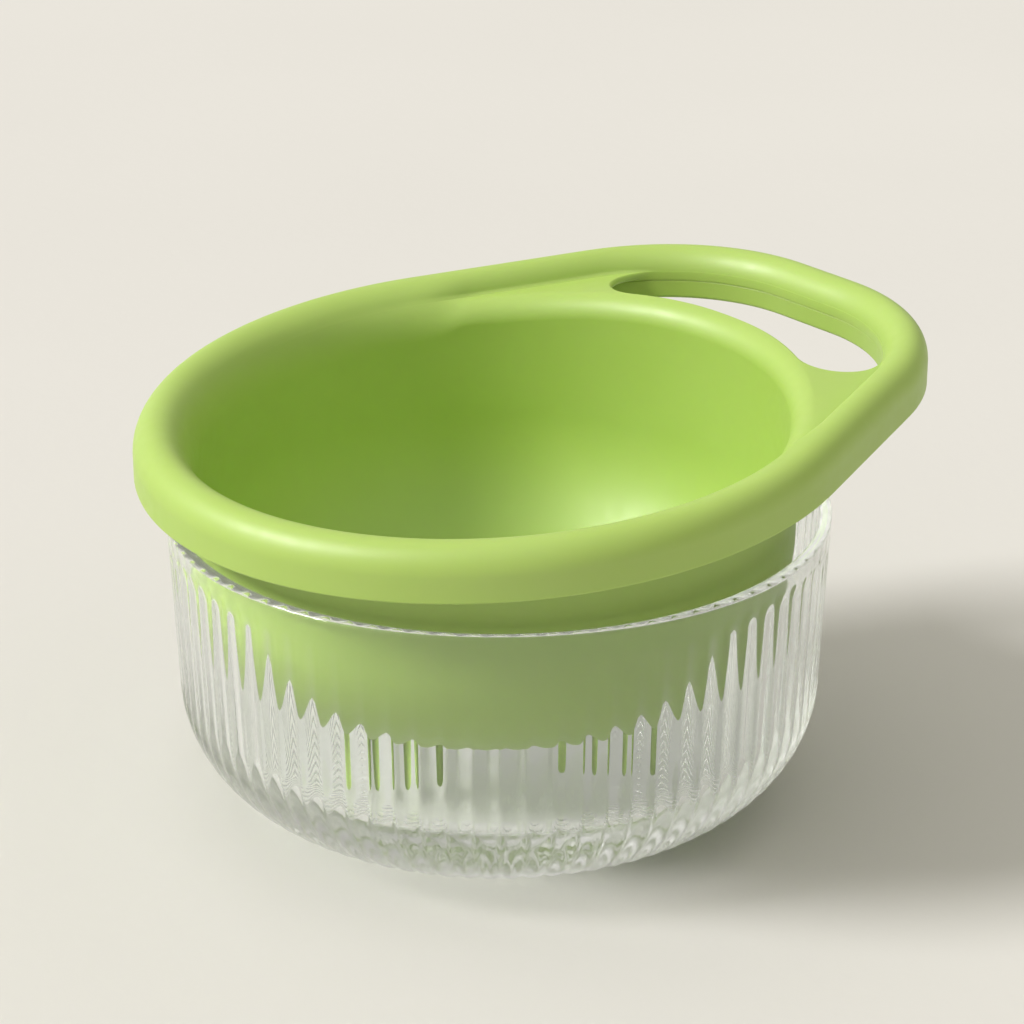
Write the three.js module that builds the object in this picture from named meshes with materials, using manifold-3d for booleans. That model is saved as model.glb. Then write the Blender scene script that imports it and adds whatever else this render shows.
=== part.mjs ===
// Draining basket with a loop handle, standing in a fluted glass bowl.
// Millimetres, +Z up. The origin is the centre of the bowl's flat foot, the handle points along +X,
// and the whole object is symmetric about the XZ plane.
import * as THREE from 'three';
import { mergeVertices } from 'three/addons/utils/BufferGeometryUtils.js';
import Module from 'manifold-3d';

// Glass bowl
const BOWL_RADIUS = 82.5;
const BOWL_HEIGHT = 77;
const BOWL_WALL = 3.2;
const BOWL_BASE = 8;
const BOWL_FOOT_RADIUS = 45;
const BOWL_FLOOR_RADIUS = 40;
const BOWL_CURVE_HEIGHT = 32;
const BOWL_TAPER = 1.9;
const BOWL_LIP_ROUND = 0.9;
const PLAIN_BAND = 4;
const FLUTE_COUNT = 80;
const FLUTE_DEPTH = 0.6;

// Basket basin and its feet
const SIDE_CLEARANCE = 3.9;
const NEAR_SIDE_GAP = 1.5;
const BASKET_WALL = 2.2;
const COLLAR_DEPTH = 5;
const FOOT_HEIGHT = 23.5;
const FOOT_TOP_RADIUS = 5;
const FOOT_TIP_RADIUS = 3.8;
const FOOT_CIRCLE_RADIUS = 31;
const FOOT_COUNT = 3;
const BASKET_FLOOR_RADIUS = 38;
const LIP_ROUND = 6;
const LIP_SHARE = 0.85;

// Drain holes: one in the middle, then rings of holes
const HOLE_RADIUS = 2.4;
const HOLE_RING_STEP = 8.2;
const HOLE_RINGS = 3;
const HOLES_PER_RING_STEP = 6;

// Rim loop and handle
const RIM_WIDTH = 11.2;
const RIM_HEIGHT = 13;
const RIM_WALL = 2;
const RIM_SLANT = 4.22;
const RIM_CLEARANCE = 8.7;
const RIM_LEDGE = 2.7;
const RIM_FORWARD = 1.8;
const RIM_SKIRT_STEP = 0.3;
const SEAM_DEPTH = 1.4;
const COVER_ROUND = 1;
const WEB_RISE = 1.2;
const WEB_SLOPE = 0.093;
const WEB_THICKNESS = 2.2;
const HANDLE_REACH = 25.6;
const HANDLE_NOSE_RADIUS = 52.5;
const HANDLE_FLAT = 19.4;
const OPENING_WEB = 4.4;
const OPENING_HALF_ANGLE = 23.6;

// Fit and meshing
const SEAT_GAP = 0.3;
const JOINT_OVERLAP = 1.4;
const CUTTER_SHARE = 4;
const MERGE_DISTANCE = 1e-4;
const LOOP_STEPS = 72;
const CURVE_STEPS = 5;
const DOME_STEPS = 6;
const LIP_STEPS = 3;
const HOLE_SIDES = 8;
const FOOT_SIDES = 16;

const wasm = await Module();
wasm.setup();

// Values worked out from the driving dimensions
const halfWidth = RIM_WIDTH / 2;
const halfHeight = RIM_HEIGHT / 2;
const basketRadius = BOWL_RADIUS - BOWL_WALL - SIDE_CLEARANCE;
const rimRadius = basketRadius + RIM_LEDGE + halfWidth;
const basketX = NEAR_SIDE_GAP - SIDE_CLEARANCE;
const rimX = basketX + RIM_FORWARD;
const slope = Math.tan(THREE.MathUtils.degToRad(RIM_SLANT));
const rimZ = BOWL_HEIGHT + RIM_CLEARANCE + halfHeight + slope * (rimRadius + halfWidth);
const noseX = rimRadius + HANDLE_REACH - HANDLE_NOSE_RADIUS;
const basketFloorZ = BOWL_BASE + SEAT_GAP + FOOT_HEIGHT;
const collarZ = BOWL_HEIGHT - COLLAR_DEPTH;

// Closed surface through a row of rings, ending in a pole at each end or joined back to the first ring.
function skin(rings, startPole, endPole) {
  const count = rings[0].length;
  const points = rings.flat();
  const triangles = [];
  const bands = startPole ? rings.length - 1 : rings.length;
  for (let band = 0; band < bands; band += 1) {
    const low = band * count;
    const high = ((band + 1) % rings.length) * count;
    for (let i = 0; i < count; i += 1) {
      const next = (i + 1) % count;
      triangles.push(low + i, low + next, high + next, low + i, high + next, high + i);
    }
  }
  if (startPole) {
    const first = points.length;
    points.push(startPole, endPole);
    const last = (rings.length - 1) * count;
    for (let i = 0; i < count; i += 1) {
      const next = (i + 1) % count;
      triangles.push(first, next, i, first + 1, last + i, last + next);
    }
  }
  return faceOutward(points, triangles);
}

function faceOutward(points, triangles) {
  let volume = 0;
  for (let i = 0; i < triangles.length; i += 3) {
    const [a, b, c] = [0, 1, 2].map((k) => points[triangles[i + k]]);
    volume += a.dot(new THREE.Vector3().crossVectors(b, c));
  }
  const geometry = new THREE.BufferGeometry().setFromPoints(points);
  geometry.setIndex(volume > 0 ? triangles : triangles.reverse());
  return geometry;
}

function toSolid(geometry) {
  const bare = geometry.clone();
  bare.deleteAttribute('normal');
  bare.deleteAttribute('uv');
  const merged = mergeVertices(bare, MERGE_DISTANCE);
  const vertProperties = new Float32Array(merged.attributes.position.array);
  const triVerts = new Uint32Array(merged.index.array);
  return new wasm.Manifold(new wasm.Mesh({ numProp: 3, vertProperties, triVerts }));
}

function toGeometry(solid) {
  const mesh = solid.getMesh();
  const geometry = new THREE.BufferGeometry();
  geometry.setAttribute('position', new THREE.BufferAttribute(mesh.vertProperties, 3));
  geometry.setIndex(new THREE.BufferAttribute(mesh.triVerts, 1));
  return geometry;
}

function namedMesh(name, geometry, material) {
  geometry.computeVertexNormals();
  const mesh = new THREE.Mesh(geometry, material);
  mesh.name = name;
  return mesh;
}

function direction(angle) {
  return new THREE.Vector2(Math.cos(angle), Math.sin(angle));
}

// Quarter of a circle or ellipse, from its side (angle 0) to its end (angle 90 degrees)
function quarter(steps) {
  return Array.from({ length: steps + 1 }, (_, i) => {
    const angle = (i / steps) * (Math.PI / 2);
    return { across: Math.cos(angle), along: Math.sin(angle) };
  });
}

// Glass bowl: smooth inside, flutes outside from the plain band under the lip down to the foot
function glassBowl() {
  const sides = 2 * FLUTE_COUNT;
  const circle = (radius, z, fluted) => Array.from({ length: sides }, (_, i) => {
    const angle = (i / sides) * 2 * Math.PI;
    const groove = fluted && i % 2 === 1 ? FLUTE_DEPTH : 0;
    return new THREE.Vector3((radius - groove) * Math.cos(angle), (radius - groove) * Math.sin(angle), z);
  });
  const curveRadius = BOWL_RADIUS - BOWL_TAPER;
  const bandZ = BOWL_HEIGHT - PLAIN_BAND;
  const bandTaper = (BOWL_TAPER * PLAIN_BAND) / (BOWL_HEIGHT - BOWL_CURVE_HEIGHT);
  const outer = quarter(CURVE_STEPS).map(({ across, along }) => {
    const radius = BOWL_FOOT_RADIUS + (curveRadius - BOWL_FOOT_RADIUS) * across;
    return circle(radius, BOWL_CURVE_HEIGHT * (1 - along), along < 1);
  }).reverse();
  const inner = quarter(CURVE_STEPS).map(({ across, along }) => {
    const wide = curveRadius - BOWL_WALL - BOWL_FLOOR_RADIUS;
    const drop = (BOWL_CURVE_HEIGHT - BOWL_BASE) * along;
    return circle(BOWL_FLOOR_RADIUS + wide * across, BOWL_CURVE_HEIGHT - drop);
  });
  const rings = [
    ...outer,
    circle(BOWL_RADIUS - bandTaper - FLUTE_DEPTH / 2, bandZ - FLUTE_DEPTH),
    circle(BOWL_RADIUS - bandTaper, bandZ),
    circle(BOWL_RADIUS, BOWL_HEIGHT - BOWL_LIP_ROUND),
    circle(BOWL_RADIUS - BOWL_LIP_ROUND, BOWL_HEIGHT),
    circle(BOWL_RADIUS - BOWL_WALL + BOWL_LIP_ROUND, BOWL_HEIGHT),
    circle(BOWL_RADIUS - BOWL_WALL, BOWL_HEIGHT - BOWL_LIP_ROUND),
    ...inner,
  ];
  return skin(rings, new THREE.Vector3(0, 0, 0), new THREE.Vector3(0, 0, BOWL_BASE));
}

// The rim's centreline in plan is a cord pulled tight round one large circle and two nose circles that
// lie side by side: large arc, straight flank, nose arc, flat nose, and the same again mirrored.
// This gives its point and outward normal on the ray at an angle from the handle.
function centrelineAt(angle) {
  const ray = direction(angle);
  const side = Math.sign(ray.y);
  const nose = new THREE.Vector2(noseX, side * (HANDLE_FLAT / 2));
  const noseAngle = Math.atan2(HANDLE_FLAT / 2, noseX);
  const flankAngle = noseAngle + Math.acos((rimRadius - HANDLE_NOSE_RADIUS) / nose.length());
  const flankNormal = direction(side * flankAngle);
  const flankEnd = nose.clone().addScaledVector(flankNormal, HANDLE_NOSE_RADIUS);
  const turn = Math.abs(Math.atan2(ray.y, ray.x));
  if (turn >= flankAngle) {
    return { ray, normal: ray, point: ray.clone().multiplyScalar(rimRadius) };
  }
  if (turn >= Math.abs(Math.atan2(flankEnd.y, flankEnd.x))) {
    const reach = rimRadius / flankNormal.dot(ray);
    return { ray, normal: flankNormal, point: ray.clone().multiplyScalar(reach) };
  }
  const tip = noseX + HANDLE_NOSE_RADIUS;
  if (Math.abs(ray.y / ray.x) * tip <= HANDLE_FLAT / 2) {
    return { ray, normal: new THREE.Vector2(1, 0), point: ray.clone().multiplyScalar(tip / ray.x) };
  }
  const along = nose.dot(ray);
  const length = along + Math.sqrt(along ** 2 - nose.lengthSq() + HANDLE_NOSE_RADIUS ** 2);
  const point = ray.clone().multiplyScalar(length);
  return { ray, normal: point.clone().sub(nose).normalize(), point };
}

const stations = Array.from({ length: LOOP_STEPS }, (_, i) => (
  centrelineAt(((i + 0.5) / LOOP_STEPS) * 2 * Math.PI)
));

// Height of the slanted rim plane at a place in plan
function planeZ(x) {
  return rimZ + slope * (x - rimX);
}

// Ring along the rim: out is measured from its centreline, up from the slanted plane.
function rimRing({ out, up }) {
  return stations.map(({ normal, point }) => {
    const x = rimX + point.x + out * normal.x;
    const y = point.y + out * normal.y;
    return new THREE.Vector3(x, y, planeZ(x) + up);
  });
}

// Level ring of the basin, or one that follows the slanted plane
function basinRing(radius, z) {
  return stations.map(({ ray }) => new THREE.Vector3(basketX + radius * ray.x, radius * ray.y, z));
}

function slantedRing(radius, up) {
  return basinRing(radius, 0).map((point) => point.setZ(planeZ(point.x) + up));
}

// Basin with its rounded lip and the web that carries the rim
function basinSolid() {
  const outerSpan = basketRadius - BASKET_FLOOR_RADIUS;
  const innerSpan = outerSpan - BASKET_WALL;
  const depth = collarZ - basketFloorZ;
  const innerDepth = depth - BASKET_WALL;
  const arc = quarter(CURVE_STEPS);
  const inner = arc.map(({ across, along }) => (
    basinRing(BASKET_FLOOR_RADIUS + innerSpan * across, collarZ - innerDepth * along)
  )).reverse();
  const outer = arc.map(({ across, along }) => (
    basinRing(BASKET_FLOOR_RADIUS + outerSpan * across, collarZ - depth * along)
  ));
  const webTop = rimRing({ out: JOINT_OVERLAP - halfWidth, up: WEB_RISE });
  const webUnderside = rimRing({ out: JOINT_OVERLAP - halfWidth, up: WEB_RISE - WEB_THICKNESS });
  const lipInside = slantedRing(basketRadius - BASKET_WALL, WEB_RISE);
  const lip = quarter(LIP_STEPS).map(({ across, along }) => lipInside.map((start, i) => {
    const ledge = start.distanceTo(webTop[i]);
    const lipShare = Math.min(LIP_ROUND / ledge, LIP_SHARE);
    const crest = WEB_SLOPE * ledge * (1 - lipShare);
    const lift = new THREE.Vector3(0, 0, crest + LIP_ROUND * (along - 1));
    return start.clone().lerp(webTop[i], lipShare * (1 - across)).add(lift);
  }));
  const collarTop = slantedRing(basketRadius, WEB_RISE - WEB_THICKNESS).map((point, i) => (
    point.setZ(point.z + WEB_SLOPE * point.distanceTo(webUnderside[i]))
  ));
  const rings = [
    ...inner,
    ...lip,
    webTop,
    webUnderside,
    collarTop,
    ...outer,
  ];
  const top = new THREE.Vector3(basketX, 0, basketFloorZ + BASKET_WALL);
  const bottom = new THREE.Vector3(basketX, 0, basketFloorZ);
  return toSolid(skin(rings, top, bottom));
}

// Prism through the web for the fingers. Its round ends touch the opening's inner arc and the handle.
function fingerOpening() {
  const webRadius = basketRadius + OPENING_WEB - RIM_FORWARD;
  const handleInside = HANDLE_NOSE_RADIUS - halfWidth;
  const endAngle = THREE.MathUtils.degToRad(OPENING_HALF_ANGLE);
  const nose = new THREE.Vector2(noseX, HANDLE_FLAT / 2);
  const reach = nose.dot(direction(endAngle));
  const gain = handleInside ** 2 - webRadius ** 2 + 2 * webRadius * reach - nose.lengthSq();
  const endRadius = gain / (2 * (webRadius - reach + handleInside));
  const end = direction(endAngle).multiplyScalar(webRadius + endRadius);
  const touchAngle = end.clone().sub(nose).angle();
  const cutRadius = HANDLE_NOSE_RADIUS;
  const shape = new THREE.Shape();
  shape.absarc(0, 0, webRadius, endAngle, -endAngle, true);
  shape.absarc(end.x, -end.y, endRadius, Math.PI - endAngle, 2 * Math.PI - touchAngle, false);
  shape.absarc(nose.x, -nose.y, cutRadius, -touchAngle, 0, false);
  shape.absarc(nose.x, nose.y, cutRadius, 0, touchAngle, false);
  shape.absarc(end.x, end.y, endRadius, touchAngle, Math.PI + endAngle, false);
  const height = CUTTER_SHARE * RIM_HEIGHT;
  const options = { depth: height, bevelEnabled: false, curveSegments: DOME_STEPS };
  const prism = new THREE.ExtrudeGeometry(shape, options);
  prism.translate(rimX, 0, planeZ(noseX) - height / 2);
  return toSolid(prism);
}

function drainHoles() {
  const places = [new THREE.Vector2(0, 0)];
  for (let ring = 1; ring <= HOLE_RINGS; ring += 1) {
    const count = ring * HOLES_PER_RING_STEP;
    for (let i = 0; i < count; i += 1) {
      const angle = ((i + 0.5) / count) * 2 * Math.PI;
      places.push(direction(angle).multiplyScalar(ring * HOLE_RING_STEP));
    }
  }
  return places.map(({ x, y }) => {
    const length = CUTTER_SHARE * BASKET_WALL;
    const hole = new THREE.CylinderGeometry(HOLE_RADIUS, HOLE_RADIUS, length, HOLE_SIDES);
    hole.rotateX(Math.PI / 2);
    hole.translate(basketX + x, y, basketFloorZ);
    return toSolid(hole);
  });
}

function feet() {
  const length = FOOT_HEIGHT + BASKET_WALL / 2;
  return Array.from({ length: FOOT_COUNT }, (_, i) => {
    const place = direction(((i + 0.5) / FOOT_COUNT) * 2 * Math.PI).multiplyScalar(FOOT_CIRCLE_RADIUS);
    const foot = new THREE.CylinderGeometry(FOOT_TOP_RADIUS, FOOT_TIP_RADIUS, length, FOOT_SIDES);
    foot.rotateX(Math.PI / 2);
    foot.translate(basketX + place.x, place.y, BOWL_BASE + SEAT_GAP + length / 2);
    return toSolid(foot);
  });
}

// Upper shell of the rim and handle: a hollow arch in section, open below
function rimArch() {
  const skirt = -(halfHeight - RIM_SKIRT_STEP);
  const innerEnd = SEAT_GAP / 2 - SEAM_DEPTH;
  const dome = (wide, high) => Array.from({ length: DOME_STEPS + 1 }, (_, i) => {
    const angle = (i / DOME_STEPS) * Math.PI;
    return { out: wide * Math.cos(angle), up: high * Math.sin(angle) };
  });
  const section = [
    { out: halfWidth, up: skirt },
    ...dome(halfWidth, halfHeight),
    { out: -halfWidth, up: innerEnd },
    { out: RIM_WALL - halfWidth, up: innerEnd },
    ...dome(halfWidth - RIM_WALL, halfHeight - RIM_WALL).reverse(),
    { out: halfWidth - RIM_WALL, up: skirt },
  ];
  return toSolid(skin(section.map(rimRing)));
}

// Lower shell: a strip that closes the arch from below, inside its outer skirt and under its inner one
function rimUnderCover() {
  const edge = halfWidth - RIM_WALL - SEAT_GAP;
  const floor = RIM_WALL - halfHeight;
  const wallTop = -SEAM_DEPTH - SEAT_GAP / 2;
  const section = [
    { out: edge, up: -halfHeight },
    { out: edge, up: floor },
    { out: RIM_WALL - halfWidth, up: floor },
    { out: RIM_WALL - halfWidth, up: wallTop },
    { out: -halfWidth, up: wallTop },
    { out: -halfWidth, up: COVER_ROUND - halfHeight },
    { out: COVER_ROUND - halfWidth, up: -halfHeight },
  ];
  return skin(section.map(rimRing));
}

function basketShell() {
  let solid = basinSolid().subtract(fingerOpening());
  drainHoles().forEach((hole) => {
    solid = solid.subtract(hole);
  });
  feet().forEach((foot) => {
    solid = solid.add(foot);
  });
  return toGeometry(solid.add(rimArch()));
}

const glass = new THREE.MeshStandardMaterial({
  color: 0xe9eeea, roughness: 0.05, metalness: 0, transparent: true, opacity: 0.35,
});
const greenPlastic = new THREE.MeshStandardMaterial({ color: 0x9bc955, roughness: 0.45, metalness: 0 });
const greenCover = new THREE.MeshStandardMaterial({ color: 0x8fbd4b, roughness: 0.5, metalness: 0 });

const basket = new THREE.Group();
basket.add(namedMesh('basket_shell', basketShell(), greenPlastic));
basket.add(namedMesh('rim_under_cover', rimUnderCover(), greenCover));

const part = new THREE.Group();
part.add(namedMesh('glass_bowl', glassBowl(), glass));
part.add(basket);

export default part;
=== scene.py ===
# Green draining basket with a loop handle, standing in a fluted glass bowl.
# Metres, +Z up. The origin is the centre of the bowl's flat foot, and the handle points along +X.
import math

import bmesh
import bpy
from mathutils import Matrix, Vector


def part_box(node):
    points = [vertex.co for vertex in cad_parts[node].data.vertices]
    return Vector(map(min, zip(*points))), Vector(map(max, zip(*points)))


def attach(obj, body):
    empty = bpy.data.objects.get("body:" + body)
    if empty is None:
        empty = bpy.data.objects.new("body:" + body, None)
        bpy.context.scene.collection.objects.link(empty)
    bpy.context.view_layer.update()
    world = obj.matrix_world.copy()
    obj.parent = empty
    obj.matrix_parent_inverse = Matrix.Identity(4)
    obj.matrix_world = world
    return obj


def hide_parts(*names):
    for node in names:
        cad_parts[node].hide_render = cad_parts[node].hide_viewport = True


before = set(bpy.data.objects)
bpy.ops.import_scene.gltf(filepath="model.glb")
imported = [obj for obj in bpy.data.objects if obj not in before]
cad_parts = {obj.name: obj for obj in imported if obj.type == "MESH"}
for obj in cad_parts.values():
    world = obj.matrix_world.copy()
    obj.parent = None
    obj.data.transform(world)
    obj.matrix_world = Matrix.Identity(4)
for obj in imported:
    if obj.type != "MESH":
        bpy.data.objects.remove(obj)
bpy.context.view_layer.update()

# Glass bowl
BOWL_WALL = 0.0032
BOWL_BASE = 0.008
BOWL_FOOT_RADIUS = 0.045
BOWL_FLOOR_RADIUS = 0.040
BOWL_CURVE_HEIGHT = 0.032
BOWL_TAPER = 0.0019
BOWL_LIP_HEIGHT = 0.0014
PLAIN_BAND = 0.004
FLUTE_COUNT = 80
FLUTE_DEPTH = 0.0006
FLUTE_ROUND = 0.3
FLUTE_FADE = 0.005
FLUTE_FULL_TURN = 1.3
POINTS_PER_FLUTE = 10

# Basket basin and its feet
SIDE_CLEARANCE = 0.0039
NEAR_SIDE_GAP = 0.0015
BASKET_WALL = 0.0022
COLLAR_DEPTH = 0.005
COLLAR_FILLET = 0.0006
FOOT_HEIGHT = 0.0235
FOOT_TOP_RADIUS = 0.005
FOOT_TIP_RADIUS = 0.0038
FOOT_TIP_ROUND = 0.0012
FOOT_CIRCLE_RADIUS = 0.031
FOOT_COUNT = 3
BASKET_FLOOR_RADIUS = 0.038
LIP_ROUND = 0.006
LIP_SHARE = 0.85

# Drain holes: one in the middle, then rings of holes
HOLE_RADIUS = 0.0024
HOLE_CHAMFER = 0.0004
HOLE_RING_STEP = 0.0082
HOLE_RINGS = 3
HOLES_PER_RING_STEP = 6

# Rim loop and handle
RIM_WIDTH = 0.0112
RIM_HEIGHT = 0.013
RIM_WALL = 0.002
RIM_SLANT = math.radians(4.22)
RIM_CLEARANCE = 0.0087
RIM_LEDGE = 0.0027
RIM_FORWARD = 0.0018
RIM_SKIRT_STEP = 0.0003
SKIRT_ROUND = 0.0006
SEAM_DEPTH = 0.0014
SEAM_GAP = 0.0001
COVER_ROUND = 0.001
WEB_RISE = 0.0012
WEB_SLOPE = 0.093
WEB_THICKNESS = 0.0022
WEB_FILLET = 0.0009
SMOOTH_DEPTH = 0.010
SMOOTH_LEDGE = 0.0050
FLAT_LEDGE = 0.0078
HANDLE_REACH = 0.0256
HANDLE_NOSE_RADIUS = 0.0525
HANDLE_FLAT = 0.0194
OPENING_WEB = 0.0044
OPENING_HALF_ANGLE = math.radians(23.6)
OPENING_EDGE_ROUND = 0.0011
OPENING_STEP = 0.0001
FLARE_FADE = 0.6
FILLET_START = math.radians(27)
FILLET_FULL = math.radians(33)

# Fit and meshing
SEAT_GAP = 0.0003
SLIVER = 0.00003
LOOP_STEPS = 288
CURVE_STEPS = 20
DOME_STEPS = 22
LIP_STEPS = 10
EDGE_STEPS = 5
OPENING_STEPS = 36
WALL_STEPS = 2
WEB_STEPS = 3
HOLE_SIDES = 32
FOOT_SIDES = 48
GLASS_SHARP_ANGLE = math.radians(60)
PLASTIC_SHARP_ANGLE = math.radians(35)

# Materials
NOISE_LOW = 0.3
NOISE_HIGH = 0.7
STREAK_DIM = 0.62
STREAK_BRIGHT = 0.97

# Stage, light and camera
VIEW_TURN = math.radians(38.69)
VIEW_FALL = math.radians(22.6)
VIEW_DISTANCE = 0.8
VIEW_LENS = 112.98
VIEW_TARGET_RIGHT = 0.0032
VIEW_TARGET_DOWN = 0.00375
GLASS_BOUNCES = 32
FLOOR_SIZE = 6.0
FLOOR_DROP = 0.0003
FLOOR_SEEN = (0.76, 0.745, 0.70, 1)
FLOOR_PALE_SHARE = 0.35
KEY_DISTANCE = 1.3
KEY_TURN = math.radians(10)
KEY_RISE = math.radians(40)
KEY_WIDTH = math.radians(18)
KEY_POWER = 2.7
KEY_COLOUR = (1.0, 0.985, 0.965)
SKY_COLOUR = (1.0, 0.96, 0.87, 1)
SKY_HORIZON = 0.06
SKY_ZENITH = 0.92
BACKDROP_COLOUR = (0.80, 0.785, 0.745, 1)
BACKDROP_KEY_SIDE = 1.2
BACKDROP_FAR_SIDE = 0.35

# Values worked out from the frame and the driving dimensions
bowl_low, bowl_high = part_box("glass_bowl")
bowl_radius = (bowl_high.y - bowl_low.y) / 2
bowl_height = bowl_high.z
half_width = RIM_WIDTH / 2
half_height = RIM_HEIGHT / 2
basket_radius = bowl_radius - BOWL_WALL - SIDE_CLEARANCE
inner_radius = basket_radius - BASKET_WALL
rim_radius = basket_radius + RIM_LEDGE + half_width
basket_x = NEAR_SIDE_GAP - SIDE_CLEARANCE
rim_x = basket_x + RIM_FORWARD
slope = math.tan(RIM_SLANT)
rim_z = bowl_height + RIM_CLEARANCE + half_height + slope * (rim_radius + half_width)
nose_x = rim_radius + HANDLE_REACH - HANDLE_NOSE_RADIUS
basket_floor_z = BOWL_BASE + SEAT_GAP + FOOT_HEIGHT
collar_z = bowl_height - COLLAR_DEPTH
web_underside = WEB_RISE - WEB_THICKNESS


# Mesh helpers

def steps(count, start=0.0, end=1.0):
    """Evenly spaced values from start to end, both included."""
    return [start + (end - start) * i / count for i in range(count + 1)]


def ease(value, start, end):
    """Smooth step from 0 at start to 1 at end."""
    t = min(max((value - start) / (end - start), 0.0), 1.0)
    return t * t * (3 - 2 * t)


def direction(angle):
    return Vector((math.cos(angle), math.sin(angle)))


def ring_faces(rings, first, wrap):
    """Faces of a closed surface through rings of points: capped, or joined back to the first ring."""
    count = len(rings[0])
    faces = []
    for band in range(len(rings) if wrap else len(rings) - 1):
        low = first + band * count
        high = first + (band + 1) % len(rings) * count
        for i in range(count):
            after = (i + 1) % count
            faces.append((low + i, low + after, high + after, high + i))
    if not wrap:
        last = first + (len(rings) - 1) * count
        faces.append(tuple(range(first + count - 1, first - 1, -1)))
        faces.append(tuple(range(last, last + count)))
    return faces


def loft(name, stacks, wrap=False):
    """Object made of one closed surface for each stack of rings."""
    points = []
    faces = []
    for rings in stacks:
        faces += ring_faces(rings, len(points), wrap)
        points += [point for ring in rings for point in ring]
    mesh = bpy.data.meshes.new(name)
    mesh.from_pydata(points, [], faces)
    work = bmesh.new()
    work.from_mesh(mesh)
    bmesh.ops.recalc_face_normals(work, faces=work.faces)
    work.to_mesh(mesh)
    work.free()
    piece = bpy.data.objects.new(name, mesh)
    bpy.context.scene.collection.objects.link(piece)
    return piece


def combine(piece, tool, operation):
    """Cut the tool out of the piece or join it on, and delete the tool."""
    boolean = piece.modifiers.new(operation, "BOOLEAN")
    boolean.object = tool
    boolean.operation = operation
    boolean.solver = "EXACT"
    evaluated = piece.evaluated_get(bpy.context.evaluated_depsgraph_get())
    mesh = bpy.data.meshes.new_from_object(evaluated)
    piece.modifiers.clear()
    piece.data = mesh
    bpy.data.objects.remove(tool)


def shade(piece, sharp_angle):
    """Smooth shading that leaves edges above the angle sharp and flat faces flat."""
    piece.data.shade_smooth()
    piece.data.set_sharp_from_angle(angle=sharp_angle)
    weighted = piece.modifiers.new("weighted_normals", "WEIGHTED_NORMAL")
    weighted.keep_sharp = True


# Glass bowl

def bowl_outside():
    """Points (radius, height, share of the flute depth) from the foot up to the lip."""
    curve_radius = bowl_radius - BOWL_TAPER
    band_z = bowl_height - PLAIN_BAND
    profile = []
    for turn in steps(2 * CURVE_STEPS, math.pi / 2, 0.0):
        radius = BOWL_FOOT_RADIUS + (curve_radius - BOWL_FOOT_RADIUS) * math.cos(turn)
        z = BOWL_CURVE_HEIGHT * (1 - math.sin(turn))
        profile.append((radius, z, ease(turn, math.pi / 2, FLUTE_FULL_TURN)))
    fade_z = band_z - FLUTE_FADE
    wall = steps(WALL_STEPS, BOWL_CURVE_HEIGHT, fade_z)[1:]
    wall += steps(2 * EDGE_STEPS, fade_z, band_z)[1:]
    wall += steps(WALL_STEPS, band_z, bowl_height - BOWL_LIP_HEIGHT)[1:]
    for z in wall:
        radius = curve_radius + BOWL_TAPER * (z - BOWL_CURVE_HEIGHT) / (bowl_height - BOWL_CURVE_HEIGHT)
        profile.append((radius, z, ease(band_z - z, 0.0, FLUTE_FADE)))
    return profile


def bowl_inside():
    """Points (radius, height, share of the flute depth) from the lip down to the floor."""
    curve_radius = bowl_radius - BOWL_TAPER - BOWL_WALL
    profile = []
    for z in steps(WALL_STEPS, bowl_height - BOWL_LIP_HEIGHT, BOWL_CURVE_HEIGHT)[:-1]:
        radius = curve_radius + BOWL_TAPER * (z - BOWL_CURVE_HEIGHT) / (bowl_height - BOWL_CURVE_HEIGHT)
        profile.append((radius, z, 0.0))
    for turn in steps(2 * CURVE_STEPS, 0.0, math.pi / 2):
        radius = BOWL_FLOOR_RADIUS + (curve_radius - BOWL_FLOOR_RADIUS) * math.cos(turn)
        profile.append((radius, BOWL_CURVE_HEIGHT - (BOWL_CURVE_HEIGHT - BOWL_BASE) * math.sin(turn), 0.0))
    return profile


def bowl_lip():
    """Points over the rounded lip, between the outside and the inside."""
    middle = bowl_radius - BOWL_WALL / 2
    low = bowl_height - BOWL_LIP_HEIGHT
    return [
        (middle + BOWL_WALL / 2 * math.cos(turn), low + BOWL_LIP_HEIGHT * math.sin(turn), 0.0)
        for turn in steps(2 * EDGE_STEPS, 0.0, math.pi)[1:-1]
    ]


def reed(phase):
    """Height of a reed, from 0 in its rounded valley to 1 on its crest."""
    valley = FLUTE_ROUND
    crest = math.hypot(1, FLUTE_ROUND)
    return (math.hypot(math.cos(phase), FLUTE_ROUND) - valley) / (crest - valley)


def glass_bowl():
    """Pressed bowl: rounded reeds outside from the plain band down to the foot, smooth inside."""
    sides = FLUTE_COUNT * POINTS_PER_FLUTE
    outside = bowl_outside()
    profile = outside + bowl_lip() + bowl_inside()
    rings = []
    for k, (radius, z, share) in enumerate(profile):
        before = Vector(profile[max(k - 1, 0)][:2])
        after = Vector(profile[min(k + 1, len(outside))][:2])
        along = (after - before).normalized()
        depth = FLUTE_DEPTH * share * radius / bowl_radius
        ring = []
        for i in range(sides):
            angle = 2 * math.pi * i / sides
            groove = depth * (1 - reed(angle * FLUTE_COUNT / 2))
            reach = radius - groove * along.y
            height = z + groove * along.x
            ring.append(Vector((reach * math.cos(angle), reach * math.sin(angle), height)))
        rings.append(ring)
    piece = loft("fluted_bowl", [rings])
    shade(piece, GLASS_SHARP_ANGLE)
    return piece


# Rim loop

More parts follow.
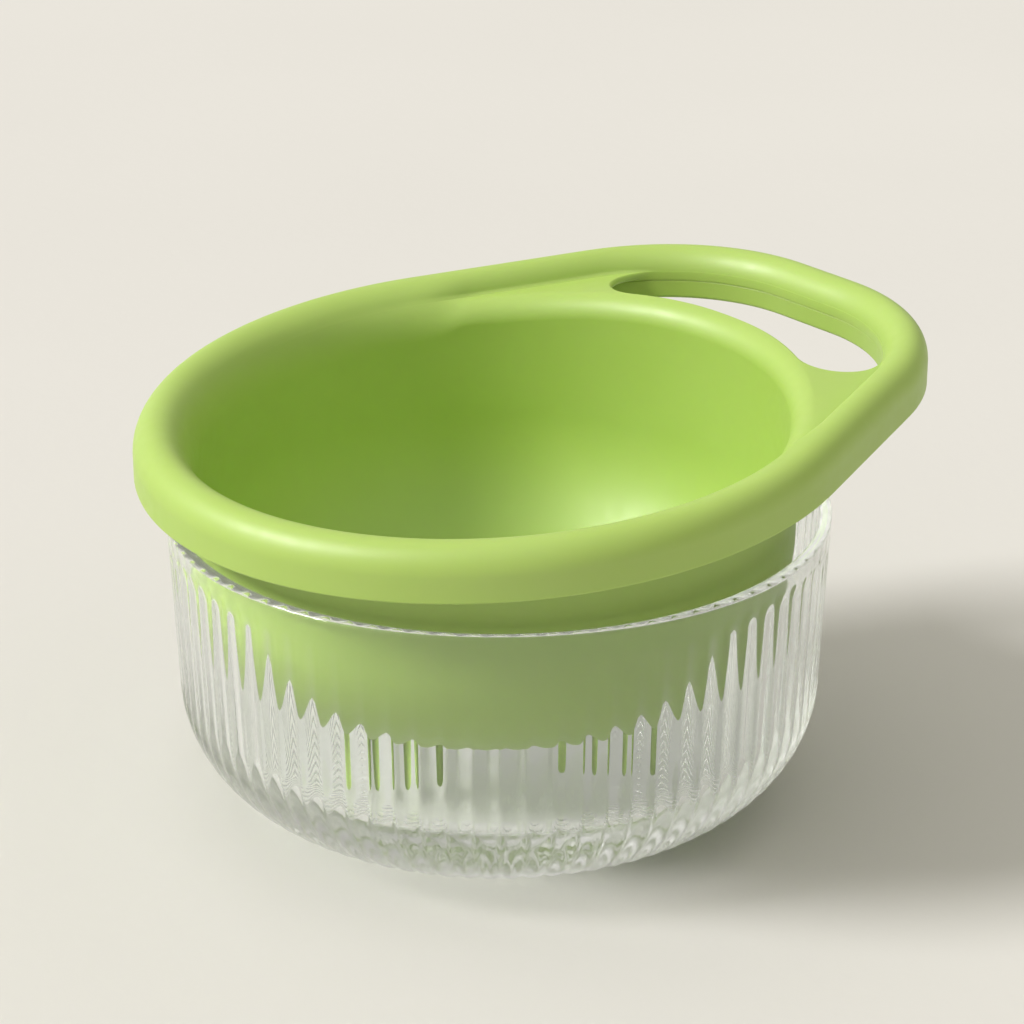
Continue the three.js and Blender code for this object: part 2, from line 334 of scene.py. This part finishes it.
def centreline_at(angle):
    """Ray, outward normal and point of the rim's centreline in plan, at an angle from the handle.

    The centreline is a large arc, a straight flank, a nose arc and a flat nose, mirrored.
    """
    ray = direction(angle)
    side = math.copysign(1, ray.y)
    nose = Vector((nose_x, side * HANDLE_FLAT / 2))
    nose_angle = math.atan2(HANDLE_FLAT / 2, nose_x)
    flank_angle = nose_angle + math.acos((rim_radius - HANDLE_NOSE_RADIUS) / nose.length)
    flank_normal = direction(side * flank_angle)
    flank_end = nose + HANDLE_NOSE_RADIUS * flank_normal
    turn = abs(math.atan2(ray.y, ray.x))
    if turn >= flank_angle:
        return ray, ray, rim_radius * ray
    if turn >= abs(math.atan2(flank_end.y, flank_end.x)):
        return ray, flank_normal, rim_radius / flank_normal.dot(ray) * ray
    tip = nose_x + HANDLE_NOSE_RADIUS
    if abs(ray.y / ray.x) * tip <= HANDLE_FLAT / 2:
        return ray, Vector((1, 0)), tip / ray.x * ray
    along = nose.dot(ray)
    length = along + math.sqrt(along**2 - nose.length_squared + HANDLE_NOSE_RADIUS**2)
    return ray, (length * ray - nose).normalized(), length * ray


angles = [2 * math.pi * (i + 0.5) / LOOP_STEPS for i in range(LOOP_STEPS)]
stations = [centreline_at(angle) for angle in angles]


def plane_z(x):
    """Height of the slanted rim plane."""
    return rim_z + slope * (x - rim_x)


def on_plane(place, up):
    """Point over a place in plan, measured up from the slanted rim plane."""
    return Vector((place.x, place.y, plane_z(place.x) + up))


def rim_place(station, out):
    """Place in plan beside the rim's centreline."""
    _, normal, point = station
    return Vector((rim_x, 0)) + point + out * normal


def basin_place(station, radius):
    """Place in plan on a circle round the basin's axis."""
    return Vector((basket_x, 0)) + radius * station[0]


def rim_ring(out, up):
    return [on_plane(rim_place(station, out), up) for station in stations]


def level_ring(radius, z):
    return [basin_place(station, radius).to_3d() + Vector((0, 0, z)) for station in stations]


# Basket moulding

def dome_reach(up):
    """Half of the rim's width at a height above its widest place."""
    return half_width * math.sqrt(1 - (up / half_height) ** 2)


def web_height(along):
    """Height of the web above the rim plane, which rises from the rim's inner face towards the basin."""
    return WEB_RISE + WEB_SLOPE * max(along, 0.0)


def web_section(ledge, fillet):
    """Section (along, up) from the rim's crown over the gently sloped web and the lip to the basin's wall.

    Along is measured from the rim's inner face towards the basin.
    """
    lip = min(LIP_ROUND, LIP_SHARE * ledge)
    section = []
    for turn in steps(DOME_STEPS, 0.0, math.acos(WEB_RISE / half_height)):
        up = half_height * math.cos(turn)
        above = max(up - WEB_RISE, 0.0)
        flare = 0.0
        if above < fillet:
            flare = fillet - math.sqrt(fillet**2 - (fillet - above) ** 2)
        section.append((flare - half_width * (1 - math.sin(turn)), up))
    start = fillet + dome_reach(WEB_RISE) - half_width
    for along in steps(WEB_STEPS, start, ledge - lip)[1:-1]:
        section.append((along, web_height(along)))
    crest = web_height(ledge - lip)
    for turn in steps(LIP_STEPS, 0.0, math.pi / 2):
        section.append((ledge - lip * (1 - math.sin(turn)), crest + LIP_ROUND * (math.cos(turn) - 1)))
    return section


def smooth_section(ledge, shares):
    """Section from the rim's crown straight down into the basin in one rounded curve."""
    wide = half_width + ledge
    low = WEB_RISE - SMOOTH_DEPTH
    high = half_height - low
    return [
        (wide * math.sin(share * math.pi / 2) - half_width, high * math.cos(share * math.pi / 2) + low)
        for share in shares
    ]


def length_shares(section):
    """Share of a section's length at each of its points."""
    lengths = [0.0]
    for (a, b), (c, d) in zip(section, section[1:]):
        lengths.append(lengths[-1] + math.hypot(c - a, d - b))
    return [length / lengths[-1] for length in lengths]


def along_web(place):
    """Distance of a place in plan from the rim's inner face, towards the basin."""
    station = centreline_at(math.atan2(place.y, place.x - rim_x))
    face = rim_place(station, -half_width)
    return (basin_place(station, inner_radius) - face).normalized().dot(place - face)


def crown_to_wall():
    """Rings from the rim's crown to the basin's inner wall."""
    columns = []
    for angle, station in zip(angles, stations):
        face = rim_place(station, -half_width)
        wall = basin_place(station, inner_radius)
        ledge = (wall - face).length
        turn = abs(math.remainder(angle, 2 * math.pi))
        flat = ease(ledge, SMOOTH_LEDGE, FLAT_LEDGE)
        fillet = min(WEB_FILLET, ledge * (1 - LIP_SHARE)) * ease(turn, FILLET_START, FILLET_FULL)
        web = web_section(ledge, fillet)
        smooth = smooth_section(ledge, length_shares(web))
        column = []
        for (web_along, web_up), (smooth_along, smooth_up) in zip(web, smooth):
            along = smooth_along + flat * (web_along - smooth_along)
            up = smooth_up + flat * (web_up - smooth_up)
            place = rim_place(station, -half_width - along) if along < 0 else face.lerp(wall, along / ledge)
            column.append(on_plane(place, up))
        columns.append(column)
    return [list(ring) for ring in zip(*columns)]


def basin_curve(wall):
    """Rings of the basin's curved wall from the drain floor up to the collar, inset by a wall thickness."""
    span = basket_radius - BASKET_FLOOR_RADIUS - wall
    depth = collar_z - basket_floor_z - wall
    return [
        level_ring(BASKET_FLOOR_RADIUS + span * math.cos(turn), collar_z - depth * math.sin(turn))
        for turn in steps(CURVE_STEPS, math.pi / 2, 0.0)
    ]


def rim_outside():
    """Rings from the rim's crown over the outside, round the skirt's edge and up inside to the web."""
    skirt = RIM_SKIRT_STEP - half_height
    inner_wide = half_width - RIM_WALL
    inner_high = half_height - RIM_WALL
    section = []
    for turn in steps(DOME_STEPS, math.pi / 2, 0.0)[1:]:
        section.append((half_width * math.cos(turn), half_height * math.sin(turn)))
    for turn in steps(EDGE_STEPS, 0.0, math.pi / 2):
        reach = half_width - SKIRT_ROUND * (1 - math.cos(turn))
        section.append((reach, skirt + SKIRT_ROUND * (1 - math.sin(turn))))
    for turn in steps(EDGE_STEPS, math.pi / 2, 0.0):
        reach = inner_wide + SKIRT_ROUND * (1 - math.cos(turn))
        section.append((reach, skirt + SKIRT_ROUND * (1 - math.sin(turn))))
    for turn in steps(DOME_STEPS, 0.0, math.pi):
        section.append((inner_wide * math.cos(turn), inner_high * math.sin(turn)))
    seam = SEAM_GAP / 2 - SEAM_DEPTH
    section += [(-inner_wide, seam), (-half_width, seam)]
    section.append((-half_width, web_underside))
    return [rim_ring(out, up) for out, up in section]


def collar():
    """Rings from the web's underside down the collar."""
    rings = []
    for turn in steps(EDGE_STEPS, 0.0, math.pi / 2):
        radius = basket_radius + COLLAR_FILLET * (1 - math.sin(turn))
        drop = WEB_THICKNESS + COLLAR_FILLET * (1 - math.cos(turn))
        places = [basin_place(station, radius) for station in stations]
        rings.append([on_plane(place, web_height(along_web(place)) - drop) for place in places])
    return rings


def opening_ring(flare, above):
    """Ring of the finger opening, at a height above the web's surface.

    Its web side is moved out by the flare, and its handle side follows the rim's inner face.
    """
    web_radius = basket_radius + OPENING_WEB - RIM_FORWARD
    dome_height = min(max(WEB_RISE + above, 0.0), WEB_RISE)
    handle_inside = HANDLE_NOSE_RADIUS - dome_reach(dome_height) - OPENING_STEP
    nose = Vector((nose_x, HANDLE_FLAT / 2))
    reach = nose.dot(direction(OPENING_HALF_ANGLE))
    gain = handle_inside**2 - web_radius**2 + 2 * web_radius * reach - nose.length_squared
    end_radius = gain / (2 * (web_radius - reach + handle_inside))
    end = (web_radius + end_radius) * direction(OPENING_HALF_ANGLE)
    touch_angle = math.atan2(end.y - nose.y, end.x - nose.x)
    upper = []
    for angle in steps(OPENING_STEPS, 0.0, OPENING_HALF_ANGLE)[:-1]:
        upper.append((web_radius - flare) * direction(angle))
    for share in steps(OPENING_STEPS)[:-1]:
        turn = math.pi + OPENING_HALF_ANGLE + share * (touch_angle - math.pi - OPENING_HALF_ANGLE)
        radius = end_radius + flare * (1 - ease(share, FLARE_FADE, 1))
        upper.append(end + radius * direction(turn))
    for angle in steps(OPENING_STEPS, touch_angle, 0.0):
        upper.append(nose + handle_inside * direction(angle))
    lower = [Vector((point.x, -point.y)) for point in upper[:0:-1]]
    places = [point + Vector((rim_x, 0)) for point in upper + lower]
    return [on_plane(place, web_height(along_web(place)) + above) for place in places]


def opening_cutter():
    """Prism through the web that leaves rounded edges."""
    section = [(OPENING_EDGE_ROUND, RIM_HEIGHT), (OPENING_EDGE_ROUND, SLIVER)]
    for turn in steps(EDGE_STEPS, 0.0, math.pi / 2)[1:]:
        flare = OPENING_EDGE_ROUND * (1 - math.sin(turn))
        section.append((flare, OPENING_EDGE_ROUND * (math.cos(turn) - 1)))
    section += [(flare, -WEB_THICKNESS - above) for flare, above in reversed(section)]
    return loft("opening_cutter", [[opening_ring(flare, above) for flare, above in section]])


def turned(place, section, sides):
    """Rings of (radius, height) round an upright axis."""
    rings = []
    for radius, z in section:
        spokes = [place + radius * direction(2 * math.pi * i / sides) for i in range(sides)]
        rings.append([spoke.to_3d() + Vector((0, 0, z)) for spoke in spokes])
    return rings


def hole_cutters():
    """Drain holes with a small chamfer above and below."""
    top = basket_floor_z + BASKET_WALL
    wide = HOLE_RADIUS + HOLE_CHAMFER
    section = [
        (wide, top + BASKET_WALL),
        (wide, top + SLIVER),
        (HOLE_RADIUS, top - HOLE_CHAMFER),
        (HOLE_RADIUS, basket_floor_z + HOLE_CHAMFER),
        (wide, basket_floor_z - SLIVER),
        (wide, basket_floor_z - BASKET_WALL),
    ]
    places = [Vector((0, 0))]
    for ring in range(1, HOLE_RINGS + 1):
        count = ring * HOLES_PER_RING_STEP
        for i in range(count):
            places.append(ring * HOLE_RING_STEP * direction(2 * math.pi * (i + 0.5) / count))
    axis = Vector((basket_x, 0))
    return loft("hole_cutters", [turned(axis + place, section, HOLE_SIDES) for place in places])


def feet():
    """Tapered feet with rounded tips."""
    tip_z = BOWL_BASE + SEAT_GAP
    section = []
    for turn in steps(EDGE_STEPS, 0.0, math.pi / 2):
        radius = FOOT_TIP_RADIUS - FOOT_TIP_ROUND * (1 - math.sin(turn))
        section.append((radius, tip_z + FOOT_TIP_ROUND * (1 - math.cos(turn))))
    section.append((FOOT_TOP_RADIUS, basket_floor_z + BASKET_WALL / 2))
    axis = Vector((basket_x, 0))
    turns = [2 * math.pi * (i + 0.5) / FOOT_COUNT for i in range(FOOT_COUNT)]
    places = [axis + FOOT_CIRCLE_RADIUS * direction(turn) for turn in turns]
    return loft("feet", [turned(place, section, FOOT_SIDES) for place in places])


def basket():
    """Basin, drain floor, feet, web and upper shell of the rim and handle, in one moulding."""
    rings = basin_curve(BASKET_WALL)
    rings += crown_to_wall()[::-1]
    rings += rim_outside()
    rings += collar()
    rings += basin_curve(0.0)[::-1]
    piece = loft("basket_moulding", [rings])
    combine(piece, opening_cutter(), "DIFFERENCE")
    combine(piece, hole_cutters(), "DIFFERENCE")
    combine(piece, feet(), "UNION")
    shade(piece, PLASTIC_SHARP_ANGLE)
    return piece


def under_cover():
    """Lower shell of the rim: a strip with rounded lower edges, closing the arch from below."""
    edge = half_width - RIM_WALL - SEAT_GAP
    floor = RIM_WALL - half_height
    wall_top = -SEAM_DEPTH - SEAM_GAP / 2
    section = [
        (edge, floor),
        (RIM_WALL - half_width, floor),
        (RIM_WALL - half_width, wall_top),
        (-half_width + SEAM_GAP, wall_top),
        (-half_width, wall_top - SEAM_GAP),
    ]
    for turn in steps(2 * EDGE_STEPS, 0.0, math.pi / 2):
        reach = COVER_ROUND * (1 - math.cos(turn)) - half_width
        section.append((reach, COVER_ROUND * (1 - math.sin(turn)) - half_height))
    for turn in steps(EDGE_STEPS, math.pi / 2, 0.0):
        reach = edge - SKIRT_ROUND * (1 - math.cos(turn))
        section.append((reach, SKIRT_ROUND * (1 - math.sin(turn)) - half_height))
    piece = loft("rim_cover", [[rim_ring(out, up) for out, up in section]], wrap=True)
    shade(piece, PLASTIC_SHARP_ANGLE)
    return piece


# Materials

def new_material(name):
    """Empty material with a Principled shader, and shortcuts to its nodes and links."""
    material = bpy.data.materials.new(name)
    material.use_nodes = True
    nodes = material.node_tree.nodes
    return material, nodes, material.node_tree.links, nodes["Principled BSDF"]


def noise(nodes, links, scale, detail):
    """Noise over the object's own coordinates, in features per metre."""
    coordinates = nodes.new("ShaderNodeTexCoord")
    texture = nodes.new("ShaderNodeTexNoise")
    texture.inputs["Scale"].default_value = scale
    texture.inputs["Detail"].default_value = detail
    links.new(coordinates.outputs["Object"], texture.inputs["Vector"])
    return texture.outputs["Fac"]


def spread(nodes, links, source, low, high):
    """A texture's middle range spread between two values."""
    remap = nodes.new("ShaderNodeMapRange")
    remap.inputs["From Min"].default_value = NOISE_LOW
    remap.inputs["From Max"].default_value = NOISE_HIGH
    remap.inputs["To Min"].default_value = low
    remap.inputs["To Max"].default_value = high
    links.new(source, remap.inputs["Value"])
    return remap.outputs["Result"]


def blend_colours(nodes, links, source, low, high):
    """Colour between two colours, by a texture's middle range."""
    ramp = nodes.new("ShaderNodeValToRGB")
    ramp.color_ramp.elements[0].position = NOISE_LOW
    ramp.color_ramp.elements[0].color = (*low, 1)
    ramp.color_ramp.elements[1].position = NOISE_HIGH
    ramp.color_ramp.elements[1].color = (*high, 1)
    links.new(source, ramp.inputs["Fac"])
    return ramp.outputs["Color"]


def bump(nodes, links, source, strength, distance):
    node = nodes.new("ShaderNodeBump")
    node.inputs["Strength"].default_value = strength
    node.inputs["Distance"].default_value = distance
    links.new(source, node.inputs["Height"])
    return node.outputs["Normal"]


def mix_shaders(nodes, links, share, first, second):
    """Shader that goes from the first to the second as the share goes from 0 to 1."""
    mix = nodes.new("ShaderNodeMixShader")
    links.new(share, mix.inputs["Fac"])
    links.new(first, mix.inputs[1])
    links.new(second, mix.inputs[2])
    return mix.outputs["Shader"]


def green_plastic(name, low, high):
    """Satin moulded plastic, slightly translucent, with a fine mould texture."""
    material, nodes, links, shader = new_material(name)
    tint = blend_colours(nodes, links, noise(nodes, links, scale=30, detail=3), low, high)
    links.new(tint, shader.inputs["Base Color"])
    gloss = spread(nodes, links, noise(nodes, links, scale=260, detail=4), low=0.44, high=0.52)
    links.new(gloss, shader.inputs["Roughness"])
    grain = noise(nodes, links, scale=2600, detail=3)
    links.new(bump(nodes, links, grain, strength=0.12, distance=0.00004), shader.inputs["Normal"])
    shader.inputs["IOR"].default_value = 1.49
    shader.inputs["Specular IOR Level"].default_value = 0.85
    shader.inputs["Subsurface Weight"].default_value = 0.25
    shader.inputs["Subsurface Radius"].default_value = (0.7, 1.0, 0.25)
    shader.inputs["Subsurface Scale"].default_value = 0.003
    return material


def flute_streaks(nodes, links):
    """Colour of the lamp light that the bowl lets through: bright behind a flute's crest, dim beside it."""
    coordinates = nodes.new("ShaderNodeTexCoord")
    axes = nodes.new("ShaderNodeSeparateXYZ")
    links.new(coordinates.outputs["Object"], axes.inputs["Vector"])
    angle = nodes.new("ShaderNodeMath")
    angle.operation = "ARCTAN2"
    links.new(axes.outputs["Y"], angle.inputs[0])
    links.new(axes.outputs["X"], angle.inputs[1])
    phase = nodes.new("ShaderNodeMath")
    phase.operation = "MULTIPLY"
    phase.inputs[1].default_value = FLUTE_COUNT
    links.new(angle.outputs["Value"], phase.inputs[0])
    wave = nodes.new("ShaderNodeMath")
    wave.operation = "COSINE"
    links.new(phase.outputs["Value"], wave.inputs[0])
    level = nodes.new("ShaderNodeMapRange")
    level.inputs["From Min"].default_value = -1.0
    level.inputs["To Min"].default_value = STREAK_DIM
    level.inputs["To Max"].default_value = STREAK_BRIGHT
    links.new(wave.outputs["Value"], level.inputs["Value"])
    return level.outputs["Result"]


def clear_glass():
    """Pressed glass. It lets lamp light through in streaks to what stands behind it."""
    material, nodes, links, shader = new_material("pressed_glass")
    shader.inputs["Base Color"].default_value = (0.98, 0.995, 0.985, 1)
    shader.inputs["Transmission Weight"].default_value = 1.0
    shader.inputs["IOR"].default_value = 1.5
    gloss = spread(nodes, links, noise(nodes, links, scale=90, detail=2), low=0.02, high=0.05)
    links.new(gloss, shader.inputs["Roughness"])
    path = nodes.new("ShaderNodeLightPath")
    shadow = nodes.new("ShaderNodeBsdfTransparent")
    links.new(flute_streaks(nodes, links), shadow.inputs["Color"])
    in_shadow = path.outputs["Is Shadow Ray"]
    surface = mix_shaders(nodes, links, in_shadow, shader.outputs["BSDF"], shadow.outputs["BSDF"])
    links.new(surface, nodes["Material Output"].inputs["Surface"])
    return material


def pale_floor():
    """Plain pale floor with a faint tooth. Seen through glass, it is partly as pale as the backdrop."""
    material, nodes, links, shader = new_material("pale_floor")
    clouds = noise(nodes, links, scale=4, detail=3)
    tint = blend_colours(nodes, links, clouds, low=(0.685, 0.675, 0.65), high=(0.70, 0.69, 0.665))
    links.new(tint, shader.inputs["Base Color"])
    shader.inputs["Roughness"].default_value = 0.85
    shader.inputs["Specular IOR Level"].default_value = 0.2
    tooth = noise(nodes, links, scale=160, detail=4)
    links.new(bump(nodes, links, tooth, strength=0.08, distance=0.001), shader.inputs["Normal"])
    pale = nodes.new("ShaderNodeEmission")
    pale.inputs["Color"].default_value = FLOOR_SEEN
    path = nodes.new("ShaderNodeLightPath")
    share = nodes.new("ShaderNodeMath")
    share.operation = "MULTIPLY"
    share.inputs[1].default_value = FLOOR_PALE_SHARE
    links.new(path.outputs["Is Transmission Ray"], share.inputs[0])
    paleness = share.outputs["Value"]
    surface = mix_shaders(nodes, links, paleness, shader.outputs["BSDF"], pale.outputs["Emission"])
    links.new(surface, nodes["Material Output"].inputs["Surface"])
    return material


# Pieces on their bodies

def place_piece(piece, material, body, node):
    piece.data.materials.clear()
    piece.data.materials.append(material)
    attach(piece, body)
    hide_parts(node)


leaf_green = green_plastic("leaf_green", (0.405, 0.58, 0.11), (0.42, 0.595, 0.125))
# The rim's under cover is the basket's plastic in a slightly darker green: painted shade on the rim's
# underside.
cover_green_painted_shade = green_plastic("cover_green_painted_shade", (0.395, 0.565, 0.105), (0.41, 0.58, 0.12))
place_piece(glass_bowl(), clear_glass(), "bowl", "glass_bowl")
place_piece(basket(), leaf_green, "basket", "basket_shell")
place_piece(under_cover(), cover_green_painted_shade, "basket", "rim_under_cover")


# Stage, light and camera

view_right = Vector((math.cos(VIEW_TURN), -math.sin(VIEW_TURN), 0))
view_away = Vector((math.sin(VIEW_TURN), math.cos(VIEW_TURN), 0))
key_travel = math.cos(KEY_TURN) * view_right + math.sin(KEY_TURN) * view_away


def add_floor():
    half = FLOOR_SIZE / 2
    corners = [(x, y, -FLOOR_DROP) for x, y in ((-half, -half), (half, -half), (half, half), (-half, half))]
    mesh = bpy.data.meshes.new("floor")
    mesh.from_pydata(corners, [], [(0, 1, 2, 3)])
    floor = bpy.data.objects.new("floor", mesh)
    mesh.materials.append(pale_floor())
    bpy.context.scene.collection.objects.link(floor)


def aim(thing, location, target):
    thing.location = location
    thing.rotation_euler = (target - location).to_track_quat("-Z", "Y").to_euler()
    bpy.context.scene.collection.objects.link(thing)


def add_key_light():
    lamp = bpy.data.lights.new("key", "SUN")
    lamp.angle = KEY_WIDTH
    lamp.energy = KEY_POWER
    lamp.color = KEY_COLOUR
    middle = Vector((0, 0, bowl_height))
    towards = Vector((0, 0, math.sin(KEY_RISE))) - math.cos(KEY_RISE) * key_travel
    aim(bpy.data.objects.new("key", lamp), middle + KEY_DISTANCE * towards, middle)


def add_sky():
    """Soft light, strongest from above. What the camera, mirrors and glass see is a pale backdrop."""
    world = bpy.data.worlds.new("sky")
    bpy.context.scene.world = world
    world.use_nodes = True
    nodes = world.node_tree.nodes
    links = world.node_tree.links
    light = nodes["Background"]
    light.inputs["Color"].default_value = SKY_COLOUR
    coordinates = nodes.new("ShaderNodeTexCoord")
    axes = nodes.new("ShaderNodeSeparateXYZ")
    links.new(coordinates.outputs["Generated"], axes.inputs["Vector"])
    height = nodes.new("ShaderNodeMapRange")
    height.inputs["To Min"].default_value = SKY_HORIZON
    height.inputs["To Max"].default_value = SKY_ZENITH
    links.new(axes.outputs["Z"], height.inputs["Value"])
    links.new(height.outputs["Result"], light.inputs["Strength"])
    seen = nodes.new("ShaderNodeBackground")
    seen.inputs["Color"].default_value = BACKDROP_COLOUR
    side = nodes.new("ShaderNodeVectorMath")
    side.operation = "DOT_PRODUCT"
    side.inputs[1].default_value = -key_travel
    links.new(coordinates.outputs["Generated"], side.inputs[0])
    fall = nodes.new("ShaderNodeMapRange")
    fall.inputs["From Min"].default_value = -1.0
    fall.inputs["To Min"].default_value = BACKDROP_FAR_SIDE
    fall.inputs["To Max"].default_value = BACKDROP_KEY_SIDE
    links.new(side.outputs["Value"], fall.inputs["Value"])
    links.new(fall.outputs["Result"], seen.inputs["Strength"])
    path = nodes.new("ShaderNodeLightPath")
    glossy = nodes.new("ShaderNodeMath")
    glossy.operation = "ADD"
    glossy.use_clamp = True
    links.new(path.outputs["Is Camera Ray"], glossy.inputs[0])
    links.new(path.outputs["Is Glossy Ray"], glossy.inputs[1])
    through = nodes.new("ShaderNodeMath")
    through.operation = "ADD"
    through.use_clamp = True
    links.new(glossy.outputs["Value"], through.inputs[0])
    links.new(path.outputs["Is Transmission Ray"], through.inputs[1])
    in_view = through.outputs["Value"]
    surface = mix_shaders(nodes, links, in_view, light.outputs["Background"], seen.outputs["Background"])
    links.new(surface, nodes["World Output"].inputs["Surface"])


def add_camera():
    data = bpy.data.cameras.new("camera")
    data.lens = VIEW_LENS
    camera = bpy.data.objects.new("camera", data)
    target = Vector((0, 0, bowl_height - VIEW_TARGET_DOWN)) + VIEW_TARGET_RIGHT * view_right
    forward = math.cos(VIEW_FALL) * view_away - Vector((0, 0, math.sin(VIEW_FALL)))
    aim(camera, target - VIEW_DISTANCE * forward, target)
    bpy.context.scene.camera = camera


add_floor()
add_key_light()
add_sky()
add_camera()
bpy.context.scene.view_settings.view_transform = "Standard"
bpy.context.scene.cycles.max_bounces = GLASS_BOUNCES
bpy.context.scene.cycles.glossy_bounces = GLASS_BOUNCES
bpy.context.scene.cycles.transmission_bounces = GLASS_BOUNCES
